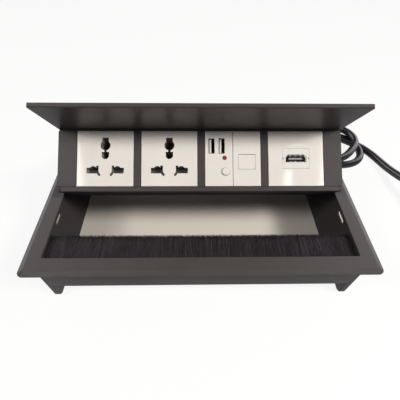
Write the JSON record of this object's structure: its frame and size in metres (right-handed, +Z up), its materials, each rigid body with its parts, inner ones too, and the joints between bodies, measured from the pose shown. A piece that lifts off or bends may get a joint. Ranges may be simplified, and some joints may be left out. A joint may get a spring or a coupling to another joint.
{
  "type": "desk power hub",
  "caption": "Flip-up desk power hub: a bevelled frame on side plates, with a hinged lid that carries mains, USB, network and video outlets, and a cord with a plug.",
  "frame": {"origin": "centre of the top frame's footprint, on the table that the side plates stand on", "axes": "+X to the right along the hinge, +Y to the back towards the hinge, +Z up"},
  "size_m": [0.3928, 0.248, 0.1366],
  "materials": {
    "dark_metal": "satin powder coat",
    "dark_plastic": "matte",
    "bristles": "nylon bristles",
    "steel": "plated",
    "friction_washer": "matte",
    "warm_white": "fine satin",
    "shutter_grey": "matte",
    "contact_brass": "plain",
    "board_green": "board lacquer",
    "lamp_red": "clear gloss",
    "cord_rubber": "satin"
  },
  "bodies": {
    "stand": {"top_frame": "dark_metal", "side_plate_left": "dark_metal", "side_plate_right": "dark_metal", "front_skirt": "dark_metal", "rear_skirt": "dark_metal", "skirt_screws": "steel", "brush_holder": "dark_plastic", "brush_bristles": "bristles", "hinge_pin_left": "steel", "hinge_pin_right": "steel", "hinge_washer_left": "friction_washer", "hinge_washer_right": "friction_washer", "hinge_clip_left": "steel", "hinge_clip_right": "steel", "cord_lead": "cord_rubber", "cord_hank": "cord_rubber", "cord_tail": "cord_rubber", "plug_body": "dark_plastic", "plug_pins": "contact_brass", "plug_earth_clips": "contact_brass"},
    "lid": {"lid_plate": "dark_metal", "housing_channel": "dark_metal", "end_cap_left": "dark_metal", "end_cap_right": "dark_metal", "cap_screws": "steel", "end_filler_left": "dark_plastic", "end_filler_right": "dark_plastic", "module_spacers": "dark_plastic", "usb_face": "warm_white", "usb_body": "dark_plastic", "usb_board": "board_green", "usb_shells": "steel", "usb_tongues": "dark_plastic", "usb_led": "lamp_red", "usb_led_ring": "dark_plastic", "usb_switch": "dark_plastic", "network_face": "warm_white", "network_jack": "dark_plastic", "network_contacts": "contact_brass", "video_face": "warm_white", "video_insert": "warm_white", "video_shell": "steel", "video_tongue": "dark_plastic", "video_body": "dark_plastic", "cord_gland": "dark_plastic", "gland_nut": "dark_plastic", "cord_sheath": "cord_rubber", "supply_wires": "cord_rubber", "link_wires": "cord_rubber", "usb_wires": "cord_rubber", "socket_face_1": "warm_white", "socket_body_1": "dark_plastic", "socket_contacts_1": "contact_brass", "socket_face_2": "warm_white", "socket_body_2": "dark_plastic", "socket_contacts_2": "contact_brass"},
    "usb_button": {"usb_button": "warm_white"},
    "network_flap": {"network_flap": "warm_white"},
    "shutter_1": {"socket_shutter_1": "shutter_grey"},
    "shutter_2": {"socket_shutter_2": "shutter_grey"}
  },
  "joints": [
    {"name": "lid_hinge", "type": "hinge", "parent": "stand", "child": "lid", "pos_m": [0, 0.05925, 0.0485], "axis": [1, 0, 0], "range_deg": [0, 53.85], "deforming": ["cord_lead"]},
    {"name": "usb_button_press", "type": "slide", "parent": "lid", "child": "usb_button", "axis": [0, 0.5899, -0.8075], "range_m": [0, 0.0008], "stiffness_N_per_m": 60, "springref_m": -0.0006},
    {"name": "network_flap_swing", "type": "hinge", "parent": "lid", "child": "network_flap", "pos_m": [0.03692, 0.01007, 0.08415], "axis": [1, 0, 0], "range_deg": [0, 85], "stiffness_Nm_per_rad": 0.0002, "springref_deg": -11.46},
    {"name": "shutter_1_slide", "type": "slide", "parent": "lid", "child": "shutter_1", "axis": [0, -0.8075, -0.5899], "range_m": [0, 0.0074], "stiffness_N_per_m": 10, "springref_m": -0.003},
    {"name": "shutter_2_slide", "type": "slide", "parent": "lid", "child": "shutter_2", "axis": [0, -0.8075, -0.5899], "range_m": [0, 0.0074], "stiffness_N_per_m": 10, "springref_m": -0.003}
  ]
}
